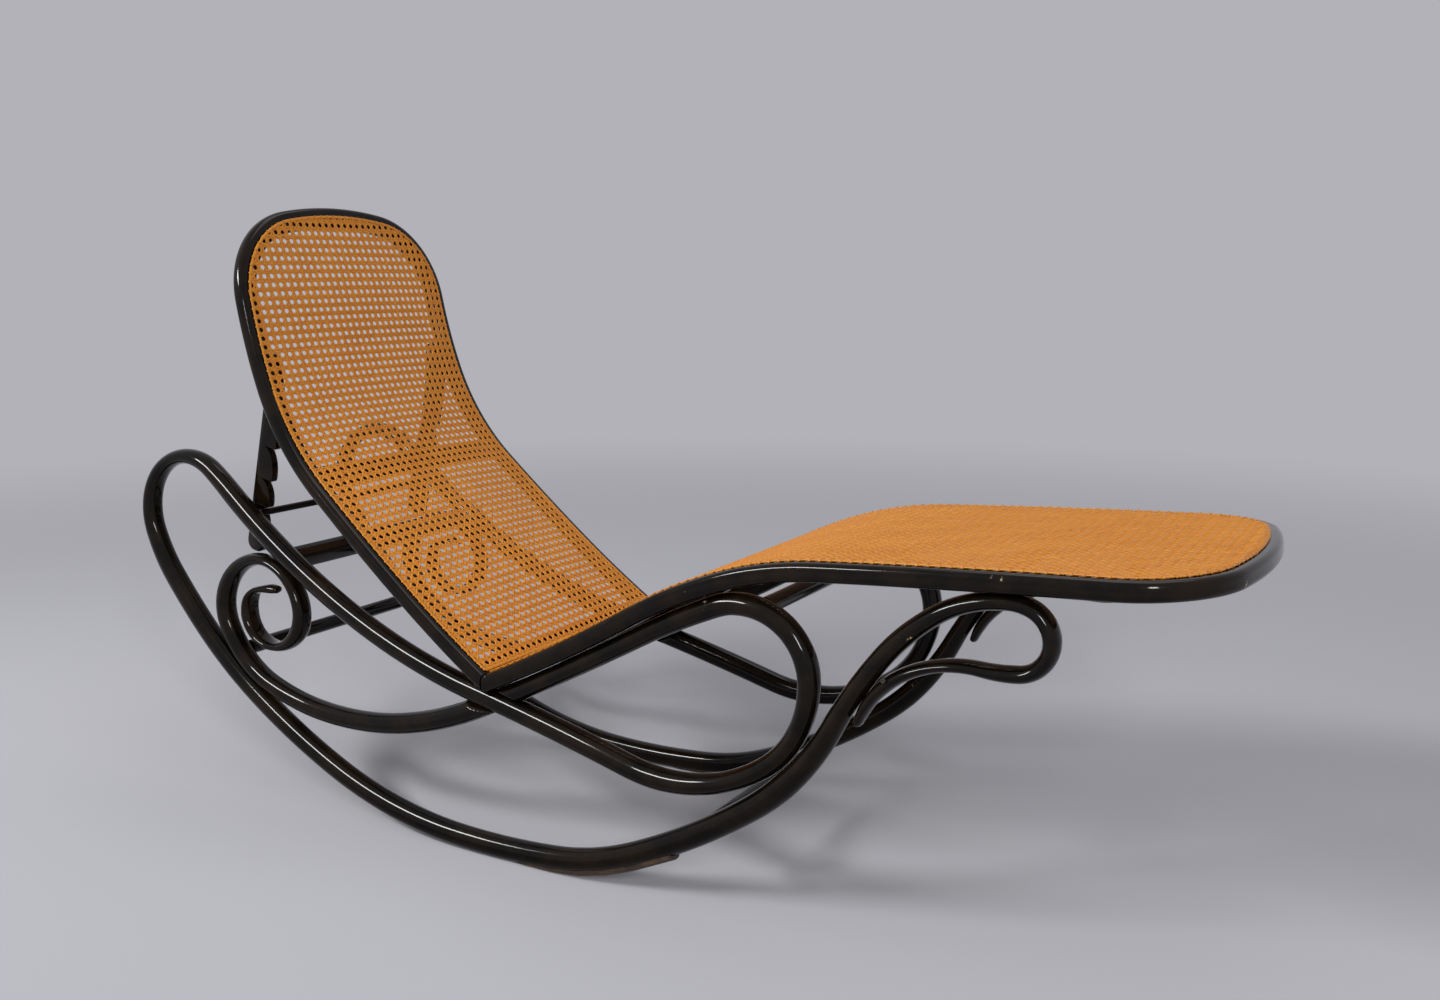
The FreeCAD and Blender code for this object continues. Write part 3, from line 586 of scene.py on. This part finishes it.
def half_at(hoop, runs, inset=0.0):
    """Half width of the cane at each run, less an inset."""
    runs = np.asarray(runs, dtype=float)
    grow = CANE_OUT - inset
    corner = hoop["corner"] + grow
    crown = hoop["crown"] + grow
    reach = hoop["reach"] + grow
    side = hoop["half"] + hoop["taper"] * np.maximum(0, 1 - runs / hoop["corner_run"]) + grow
    past = runs - hoop["corner_run"]
    round_part = hoop["half"] - hoop["corner"] + np.sqrt(np.maximum(0, corner ** 2 - past ** 2))
    end_part = np.sqrt(np.maximum(0, crown ** 2 - (runs - reach + crown) ** 2))
    turn_past = math.cos(hoop["tip"]) * corner
    return np.where(past <= 0, side, np.where(past <= turn_past, round_part, end_part))


def on_cane(hoop, runs, across, lift):
    """Points of the cane's surface, and the directions along the seat and out of it."""
    x, z, angle = on_line(hoop, runs)
    along, up = directions(hoop, angle)
    wide = np.maximum(half_at(hoop, np.clip(runs, 0, hoop["corner_run"])), 1e-4)
    ends = (np.clip(runs / SWELL_RUN, 0, 1)
            * np.clip((hoop["reach"] - runs) / SWELL_RUN, 0, 1))
    swell = hoop["bulge"] * np.clip(1 - (across / wide) ** 2, 0, 1) * np.sin(ends * math.pi / 2)
    level = hoop["depth"] / 2 + CANE_LIFT + swell + lift
    return np.stack([x, across, z], axis=1) + up * level[:, None], along, up


def lay_ribbon(parts, points, sideways, up, width, section):
    """Adds a flat ribbon to the mesh in the making, and returns how far each point is along it."""
    first = sum(len(p) for p in parts["points"])
    steps = np.linalg.norm(np.diff(points, axis=0), axis=1)
    distance = np.concatenate([[0.0], np.cumsum(steps)])
    rows = np.stack([points + sideways * width * share - up * drop for share, drop in section],
                    axis=1)
    lay = np.zeros(rows.shape)
    lay[:, :, 0] = distance[:, None]
    lay[:, :, 1] = np.array([share for share, drop in section]) * width
    lay[:, :, 2] = parts["count"]
    parts["points"].append(rows.reshape(-1, 3))
    parts["lay"].append(lay.reshape(-1, 3))
    parts["count"] += 1
    columns = len(section)
    base = first + columns * np.arange(len(points) - 1)
    for a in range(columns - 1):
        parts["faces"].append(np.stack([base + a, base + a + 1, base + a + columns + 1,
                                        base + a + columns], axis=1))
    return distance


def lay_strand(parts, hoop, runs, across, lift, width, slant):
    """Adds one strand of the weave. Its slant is how it goes across and along the panel."""
    points, along, up = on_cane(hoop, runs, across, lift)
    sideways = along * slant[0] + np.array([0.0, 1.0, 0.0]) * slant[1]
    lay_ribbon(parts, points, sideways, up, width, PEEL_SECTION)


def cane_piece(name, parts, material, body, *cad):
    """Joins the strands to one mesh that keeps each point's place along and across its strand."""
    mesh = bpy.data.meshes.new(name)
    points = np.concatenate(parts["points"])
    faces = np.concatenate(parts["faces"])
    mesh.vertices.add(len(points))
    mesh.vertices.foreach_set("co", points.astype(np.float32).ravel())
    mesh.loops.add(faces.size)
    mesh.loops.foreach_set("vertex_index", faces.astype(np.int32).ravel())
    mesh.polygons.add(len(faces))
    mesh.polygons.foreach_set("loop_start", np.arange(0, faces.size, 4, dtype=np.int32))
    mesh.polygons.foreach_set("use_smooth", np.ones(len(faces), dtype=bool))
    lay = mesh.attributes.new("lay", "FLOAT_VECTOR", "POINT")
    lay.data.foreach_set("vector", np.concatenate(parts["lay"]).astype(np.float32).ravel())
    mesh.update(calc_edges=True)
    set_in_place(name, mesh, material, body, *cad)


def cane_peel(name, pale):
    """Rattan peel under old varnish: honey to amber from strand to strand, fine fibres along each,
    pale flecks at the old leaf joints, and a waxy shine on its crown."""
    made = fresh(name)
    lay = add(made, "ShaderNodeAttribute", attribute_name="lay").outputs["Vector"]
    stretched = add(made, "ShaderNodeVectorMath", {0: lay, 1: (9.0, 1000 / FIBRE_MM, 7.31)},
                    operation="MULTIPLY")
    fibres = add(made, "ShaderNodeTexNoise", {"Vector": stretched.outputs[0], "Scale": 1.0,
                                              "Detail": 4.0, "Roughness": 0.65})
    single = add(made, "ShaderNodeVectorMath", {0: lay, 1: (2.2, 0.0, 3.77)}, operation="MULTIPLY")
    shade = add(made, "ShaderNodeTexNoise", {"Vector": single.outputs[0], "Scale": 1.0,
                                             "Detail": 1.0})
    shade_range = add(made, "ShaderNodeMapRange", {"Value": shade.outputs["Fac"], "From Min": 0.3,
                                                   "From Max": 0.7})
    ground = add(made, "ShaderNodeMix", {0: shade_range.outputs["Result"], 6: tone(CANE_AMBER),
                                         7: tone(CANE_HONEY)}, data_type="RGBA")
    light = add(made, "ShaderNodeMapRange", {"Value": fibres.outputs["Fac"], "From Min": 0.5,
                                             "From Max": 0.75, "To Max": pale})
    peel = add(made, "ShaderNodeMix", {0: light.outputs["Result"], 6: ground.outputs[2],
                                       7: tone(CANE_PALE)}, data_type="RGBA")
    ridges = add(made, "ShaderNodeBump", {"Height": fibres.outputs["Fac"], "Strength": 0.25,
                                          "Distance": 0.0003})
    wax = add(made, "ShaderNodeMapRange", {"Value": fibres.outputs["Fac"], "From Min": 0.3,
                                           "From Max": 0.7, "To Min": 0.32, "To Max": 0.48})
    rattan = add(made, "ShaderNodeBsdfPrincipled", {
        "Base Color": peel.outputs[2], "Roughness": wax.outputs["Result"], "IOR": 1.45,
        "Specular IOR Level": 0.3, "Normal": ridges.outputs["Normal"]})
    add(made, "ShaderNodeOutputMaterial", {"Surface": rattan.outputs[0]})
    return made


def over_and_under(low, high):
    """The ends of a straight strand and its highest and lowest places between them, in pitches."""
    peaks = np.arange(math.ceil(low * 2 - 0.5), high * 2 - 0.5) / 2 + 0.25
    return np.unique(np.concatenate([[low, high], peaks]))


def weave(hoop):
    """All the strands of one panel: pairs along it, pairs across it, then both slants."""
    parts = {"points": [], "faces": [], "lay": [], "count": 0}
    first = hoop["first"]
    last = hoop["reach"] + CANE_OUT - CANE_EDGE
    rows = int((last - first) / PITCH)
    columns = int(HALF_WIDTH / PITCH) + 1
    for column in range(-columns, columns + 1):
        for mark in (-1, 1):
            y = (column + 0.5 + mark * PAIR) * PITCH
            inside = np.arange(first, last, EDGE_STEP)
            inside = inside[np.abs(y) < half_at(hoop, inside, CANE_EDGE)]
            if len(inside) < SHORTEST:
                continue
            u = over_and_under((inside[0] - first) / PITCH, (inside[-1] - first) / PITCH)
            lay_strand(parts, hoop, first + u * PITCH, 0 * u + y,
                       -mark * WEAVE * np.sin(2 * math.pi * u), STRAIGHT_WIDTH, (0, 1))
    for row in range(rows + 1):
        for mark in (-1, 1):
            run = first + (row + 0.5 + mark * PAIR) * PITCH
            half = float(half_at(hoop, [run], CANE_EDGE)[0])
            if run > last or half < PITCH:
                continue
            v = over_and_under(-half / PITCH, half / PITCH)
            lay_strand(parts, hoop, 0 * v + run, v * PITCH,
                       -mark * WEAVE * np.sin(2 * math.pi * v), STRAIGHT_WIDTH, (1, 0))
    slope = math.sqrt(0.5)
    for family in (-1, 1):
        for number in range(-columns - 1, rows + columns + 2):
            u = np.arange(-0.5, rows + 2, SLANT_STEP)
            y = family * (number + 0.5 - u) * PITCH
            run = first + u * PITCH
            u = u[(run > first) & (run < last) & (np.abs(y) < half_at(hoop, run, CANE_EDGE))]
            if len(u) < SHORTEST_SLANT:
                continue
            crossings = np.arange(math.ceil(u[0] * 2), u[-1] * 2) / 2
            u = np.unique(np.concatenate([[u[0], u[-1]], crossings]))
            lay_strand(parts, hoop, first + u * PITCH, family * (number + 0.5 - u) * PITCH,
                       family * SLANT_RISE * WEAVE * np.cos(2 * math.pi * (u - 0.5)), SLANT_WIDTH,
                       (slope, family * slope))
    return parts


peel_material = cane_peel("split_rattan_peel", pale=0.55)
for hoop, name, body in ((SEAT, "seat_cane", "frame"), (BACK, "back_cane", "back")):
    cane_piece(name + "_weave", weave(hoop), peel_material, body, name)


# Binder: one broad strand laid over the row of holes round each panel, and tied down by a thin
# strand that comes up through every hole. It is paler than the field.
BINDER_WIDTH = 0.0045
BINDER_INSET = 0.0026
BINDER_LIFT = 0.0011
TIE_LENGTH = 0.0062
TIE_WIDTH = 0.0022
RIM_STEPS = 90
RIM_CORNER_STEPS = 24
RIM_CROWN_STEPS = 16
SILL_STEPS = 60
# For the binder, shares of its width and drops below its crown. For a tie, shares of its length and
# rises: its ends go down into the hole.
BINDER_SECTION = ((-0.5, 0.0008), (-0.3, 0.0001), (0.0, 0.0), (0.3, 0.0001), (0.5, 0.0008))
TIE_ARCH = ((-0.5, -0.0013), (-0.42, 0.0001), (-0.2, 0.00045), (0.2, 0.00045), (0.42, 0.0001),
            (0.5, -0.0013))


def rim(hoop, inset):
    """The line of the holes: up one side from the hinge, round the end and back down the other."""
    grow = CANE_OUT - inset
    half = hoop["half"] + grow
    side_runs = np.linspace(hoop["first"] + inset, hoop["corner_run"], RIM_STEPS)
    side = [(r, -float(half_at(hoop, [r], inset)[0])) for r in side_runs]
    corner = hoop["corner"] + grow
    crown = hoop["crown"] + grow
    turn = math.pi / 2 - hoop["tip"]
    arc = [(hoop["corner_run"] + math.sin(a) * corner, -half + corner - math.cos(a) * corner)
           for a in np.linspace(0, turn, RIM_CORNER_STEPS)[1:]]
    end = [(hoop["reach"] + grow - crown + math.cos(a) * crown, math.sin(a) * crown)
           for a in np.linspace(-hoop["tip"], 0, RIM_CROWN_STEPS)[1:]]
    first_half = side + arc + end
    return np.array(first_half + [(r, -y) for r, y in reversed(first_half[:-1])])


def bind(hoop):
    """The binder round a panel and along its hinge end, with a tie over it at every hole."""
    parts = {"points": [], "faces": [], "lay": [], "count": 0}
    start = hoop["first"]
    half = float(half_at(hoop, [start], BINDER_INSET)[0])
    sill = np.array([(start + BINDER_INSET, y) for y in np.linspace(-half, half, SILL_STEPS)])
    for path in (rim(hoop, BINDER_INSET), sill):
        level = np.full(len(path), BINDER_LIFT)
        points, along, up = on_cane(hoop, path[:, 0], path[:, 1], level)
        ahead = np.gradient(points, axis=0)
        ahead /= np.linalg.norm(ahead, axis=1)[:, None]
        sideways = np.cross(up, ahead)
        distance = lay_ribbon(parts, points, sideways, up, BINDER_WIDTH, BINDER_SECTION)
        for mark in np.arange(PITCH / 2, distance[-1], PITCH):
            k = min(int(np.searchsorted(distance, mark)), len(points) - 1)
            part = (mark - distance[k - 1]) / max(distance[k] - distance[k - 1], 1e-9)
            middle = points[k - 1] + (points[k] - points[k - 1]) * part
            first = sum(len(p) for p in parts["points"])
            corners = [(s, t, rise) for s, rise in TIE_ARCH for t in (-0.5, 0.5)]
            parts["points"].append(np.array([
                middle + sideways[k] * TIE_LENGTH * s + ahead[k] * TIE_WIDTH * t + up[k] * rise
                for s, t, rise in corners]))
            parts["lay"].append(np.array([(s * TIE_LENGTH, t * TIE_WIDTH, parts["count"])
                                          for s, t, rise in corners]))
            base = first + 2 * np.arange(len(TIE_ARCH) - 1)
            parts["faces"].append(np.stack([base, base + 1, base + 3, base + 2], axis=1))
            parts["count"] += 1
    return parts


binder_material = cane_peel("rattan_binder_strand", pale=0.95)
cane_piece("seat_cane_binder", bind(SEAT), binder_material, "frame")
cane_piece("back_cane_binder", bind(BACK), binder_material, "back")


# Cross members: turned dowels and planed bars of beech, let into the rods and the hoops with glue and
# stained with the frame, and the steel prop rod, painted to match. Nobody touches them, so they show
# less wear.
EASED_EDGE = 0.0045
LONG_EDGE = 0.1
FLAT_ANGLE = 0.02
CORNER_ANGLE = 0.5


def plane_off(name, shape, edges, body, cad, ease, steps, crease):
    """Rounds the edges of a shape with the plane, stains it and puts it where its CAD part is."""
    bmesh.ops.bevel(shape, geom=edges, offset=ease, segments=steps, profile=0.5, affect="EDGES")
    mesh = bpy.data.meshes.new(name)
    shape.to_mesh(mesh)
    shape.free()
    round_off(set_in_place(name, mesh, shadow_shellac, body, cad), crease)


shadow_shellac = black_lacquer("black_shellac_on_stretchers", rubbed=0.47)
for name in ("scroll_bar", "seat_bar", "front_bar", "prop_rod"):
    round_off(nodes[name], crease=50)
    finish_with(nodes[name], shadow_shellac)
for name, body in (("rear_bar", "frame"), ("seat_hinge_rail", "frame"), ("back_hinge_rail", "back"),
                   ("back_middle_rail", "back")):
    shape = bmesh.new()
    shape.from_mesh(nodes[name].data)
    shape.transform(nodes[name].matrix_world)
    bmesh.ops.remove_doubles(shape, verts=shape.verts, dist=1e-6)
    bmesh.ops.dissolve_limit(shape, angle_limit=FLAT_ANGLE, verts=shape.verts, edges=shape.edges)
    long_edges = [edge for edge in shape.edges
                  if edge.calc_length() > LONG_EDGE and edge.calc_face_angle(0.0) > CORNER_ANGLE]
    plane_off(name + "_planed", shape, long_edges, body, name, ease=EASED_EDGE, steps=4, crease=40)


# Notched boards: sawn from beech board with beak-shaped teeth, so that the prop rod can't slip out,
# and their edges eased by hand. They hang on bolts in the back's sides and are stained black.
PIVOT = (-0.56881, 0.68312)
PROP_ROD = (-0.59780, 0.45330)
PROP_RADIUS = 0.0055
BOARD_TOP = 0.015
BOARD_END = 0.015
REAR_EDGE = -0.0027
FRONT_EDGE = 0.0328
ROD_BITE = 0.0073
NOTCH_RISE = 0.0032
NOTCH_DEPTH = 0.019
NOTCH_PITCHES = (0.052, 0.042)
BOARD_FOOT = 0.076
EASED_BOARD = 0.0013
NOTCH_LIP = 0.002
FRONT_SHOULDER = 0.19
REAR_SHOULDER = 0.24
TOP_STEPS = 17
FOOT_STEPS = 7
# One tooth, from the bottom of its notch to the beak that hangs over the next one: shares of the
# pitch and of the notch's depth. The lowest tooth ends before the beak.
BEAK = [(0.0, 1.15), (0.04, 0.90), (0.12, 0.62), (0.25, 0.38), (0.42, 0.17), (0.60, 0.05),
        (0.78, 0.0), (0.90, 0.0), (0.96, 0.03), (0.99, 0.08), (1.0, 0.14)]
LOWEST_TOOTH = BEAK[:8]

# The board leans so that the prop rod lies ROD_BITE behind its front edge, in the lowest notch.
rod_x, rod_z = PROP_ROD[0] - PIVOT[0], PROP_ROD[1] - PIVOT[1]
board_lean = (math.atan2(-rod_x, -rod_z)
              + math.asin((FRONT_EDGE - ROD_BITE) / math.hypot(rod_x, rod_z)))
board_down = (-math.sin(board_lean), -math.cos(board_lean))
board_fore = (math.cos(board_lean), -math.sin(board_lean))
lowest = rod_x * board_down[0] + rod_z * board_down[1] - PROP_RADIUS - NOTCH_RISE
board_length = lowest + BOARD_FOOT

# Its outline, as distances down the board and forward from the bolt: the top, the teeth, the foot.
outline = [(-math.cos(a) * BOARD_TOP, math.sin(a) * BOARD_TOP)
           for a in np.linspace(-math.pi / 2, math.pi / 2, TOP_STEPS)]
outline.append((FRONT_SHOULDER * board_length, FRONT_EDGE))
notch = lowest - sum(NOTCH_PITCHES)
outline += [(notch - NOTCH_LIP, FRONT_EDGE), (notch, FRONT_EDGE - NOTCH_LIP)]
for pitch, tooth in zip(NOTCH_PITCHES + NOTCH_PITCHES[:1], (BEAK, BEAK, LOWEST_TOOTH)):
    outline += [(notch + a * pitch, FRONT_EDGE - b * NOTCH_DEPTH) for a, b in tooth]
    notch += pitch
for across, start in ((FRONT_EDGE - BOARD_END, math.pi / 2), (REAR_EDGE + BOARD_END, 0.0)):
    outline += [(board_length - BOARD_END + math.cos(a) * BOARD_END,
                 across + math.sin(a) * BOARD_END)
                for a in np.linspace(start, start - math.pi / 2, FOOT_STEPS)]
outline.append((REAR_SHOULDER * board_length, REAR_EDGE))
for name in ("left_prop_board", "right_prop_board"):
    across = [(nodes[name].matrix_world @ v.co).y for v in nodes[name].data.vertices]
    shape = bmesh.new()
    corners = [shape.verts.new((PIVOT[0] + board_down[0] * a + board_fore[0] * b, min(across),
                                PIVOT[1] + board_down[1] * a + board_fore[1] * b))
               for a, b in outline]
    sheet = shape.faces.new(corners)
    grown = bmesh.ops.extrude_face_region(shape, geom=[sheet])["geom"]
    far_side = [v for v in grown if isinstance(v, bmesh.types.BMVert)]
    bmesh.ops.translate(shape, verts=far_side, vec=(0.0, max(across) - min(across), 0.0))
    bmesh.ops.recalc_face_normals(shape, faces=shape.faces)
    rims = [edge for edge in shape.edges
            if abs(edge.verts[0].co.y - edge.verts[1].co.y) < 1e-6]
    plane_off(name + "_sawn", shape, rims, "props", name, ease=EASED_BOARD, steps=2, crease=38)


# Hinges and bolts: rolled iron with a dark oxide skin, brown where the damp has got at it.
IRON_DARK = "#4A4642"
IRON_RUST = "#6B4A33"
RUST_MM = 10.0

iron = fresh("oxidised_wrought_iron")
iron_place = add(iron, "ShaderNodeTexCoord").outputs["Object"]
blooms = add(iron, "ShaderNodeTexNoise", {"Vector": iron_place, "Scale": 1000 / RUST_MM,
                                          "Detail": 6.0, "Roughness": 0.7})
bloomed = add(iron, "ShaderNodeMapRange", {"Value": blooms.outputs["Fac"], "From Min": 0.5,
                                           "From Max": 0.68})
iron_skin = add(iron, "ShaderNodeMix", {0: bloomed.outputs["Result"], 6: tone(IRON_DARK),
                                        7: tone(IRON_RUST)}, data_type="RGBA")
iron_rough = add(iron, "ShaderNodeMapRange", {"Value": blooms.outputs["Fac"], "From Min": 0.3,
                                              "From Max": 0.7, "To Min": 0.32, "To Max": 0.62})
iron_metal = add(iron, "ShaderNodeBsdfPrincipled", {
    "Base Color": iron_skin.outputs[2], "Metallic": 0.9, "Roughness": iron_rough.outputs["Result"]})
add(iron, "ShaderNodeOutputMaterial", {"Surface": iron_metal.outputs[0]})
for name in ("seat_hinge_leaves", "back_hinge_leaves", "pivot_bolts"):
    round_off(nodes[name], crease=35)
    finish_with(nodes[name], iron)


# Screws: round-headed iron ones hold the end of each front strand to the arm above it, flat ones
# hold the hinge leaves, and a small pin marks the mitre. Each is a turned head with a sawn slot.
HEAD_PROFILE = [(1.0, 0.0), (0.97, 0.35), (0.80, 0.72), (0.52, 0.93), (0.0, 1.0)]
HEAD_SIDES = 24
SLOT_HALF = 0.13
SLOT_DEEP = 0.45
SLOT_END = 0.98
SLOT_TURN = 0.7
LEAF_LOW = 0.0020
LEAF_PLACES = [(0.26, -0.35), (0.26, 0.35), (0.72, -0.2), (0.72, 0.2)]
LEAF_NEAR = 0.006
LEAF_BREADTH = 0.030
LEAF_LENGTH = 0.064
LEAF_PLANE = 0.120
LEAF_SCREW = (0.0032, 0.0009)
SIDE_SCREWS = [
    # name, place on the left side, radius, height, turn of the slot
    ("front_strand_screw", (0.4463, 0.2275, 0.3521), 0.0035, 0.0018, 0.4),
    ("mitre_pin", (-0.1357, 0.2345, 0.2711), 0.0018, 0.0005, 1.2),
]


def screw(name, spot, outward, radius, height, turn, body):
    """A domed head with a slot, standing on a face."""
    turned = Vector(outward).normalized().to_track_quat("Z", "Y")
    placed = []
    for share, rise in HEAD_PROFILE:
        for i in range(HEAD_SIDES):
            angle = 2 * math.pi * i / HEAD_SIDES
            x = share * math.cos(angle)
            y = share * math.sin(angle)
            sunk = SLOT_DEEP if abs(x) < SLOT_HALF and share < SLOT_END else 0.0
            spun = Vector((x * math.cos(turn) - y * math.sin(turn),
                           x * math.sin(turn) + y * math.cos(turn), 0))
            raised = Vector((0, 0, (rise - sunk) * height))
            placed.append(Vector(spot) + turned @ (spun * radius + raised))
    faces = []
    for low in range(0, (len(HEAD_PROFILE) - 1) * HEAD_SIDES, HEAD_SIDES):
        for i in range(HEAD_SIDES):
            j = (i + 1) % HEAD_SIDES
            faces.append((low + i, low + j, low + HEAD_SIDES + j, low + HEAD_SIDES + i))
    mesh = bpy.data.meshes.new(name)
    mesh.from_pydata(placed, [], faces)
    set_in_place(name, mesh, iron, body)


for leaf, body, hoop in (("seat", "frame", SEAT), ("back", "back", BACK)):
    heading = math.radians(hoop["heading"])
    along = Vector((math.cos(heading), 0, math.sin(heading)))
    up = Vector((-math.sin(heading), 0, math.cos(heading))) * hoop["up"]
    for side, sign in (("left", 1), ("right", -1)):
        for number, (out, over) in enumerate(LEAF_PLACES):
            spot = (Vector((HINGE[0], sign * LEAF_PLANE + over * LEAF_LENGTH, HINGE[1]))
                    + along * (LEAF_NEAR + out * LEAF_BREADTH) - up * LEAF_LOW)
            screw("%s_%s_leaf_screw_%d" % (side, leaf, number), spot, -up, *LEAF_SCREW,
                  SLOT_TURN * number + sign, body)
for side, sign in (("left", 1), ("right", -1)):
    for name, (x, y, z), radius, height, turn in SIDE_SCREWS:
        screw("%s_%s" % (side, name), (x, sign * y, z), (0, sign, 0), radius, height, turn, "frame")
